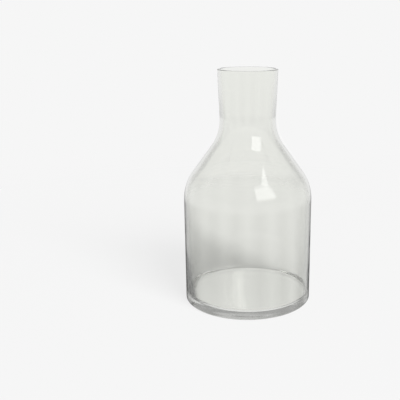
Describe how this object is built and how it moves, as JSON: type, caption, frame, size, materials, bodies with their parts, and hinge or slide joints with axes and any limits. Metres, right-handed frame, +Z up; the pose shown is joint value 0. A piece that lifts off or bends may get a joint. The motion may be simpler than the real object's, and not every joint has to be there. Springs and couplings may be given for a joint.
{
  "type": "bottle vase",
  "caption": "Clear glass bottle vase with a straight round body on a thick flat base, a sloping shoulder and a short flared neck. It stands on a table and holds water and cut stems.",
  "frame": {"origin": "on the axis of the vase, in the plane that the foot ring stands on", "axes": "+Z up along the axis, from the base to the mouth; the vase is round, so +X and +Y are free, and -Y faces the picture's camera"},
  "size_m": [0.132, 0.132, 0.24],
  "materials": {
    "clear_glass": "fire-polished clear glass with a faint grey-green cast"
  },
  "bodies": {
    "root": {"glass_body": "clear_glass", "base_disc": "clear_glass"}
  },
  "joints": []
}
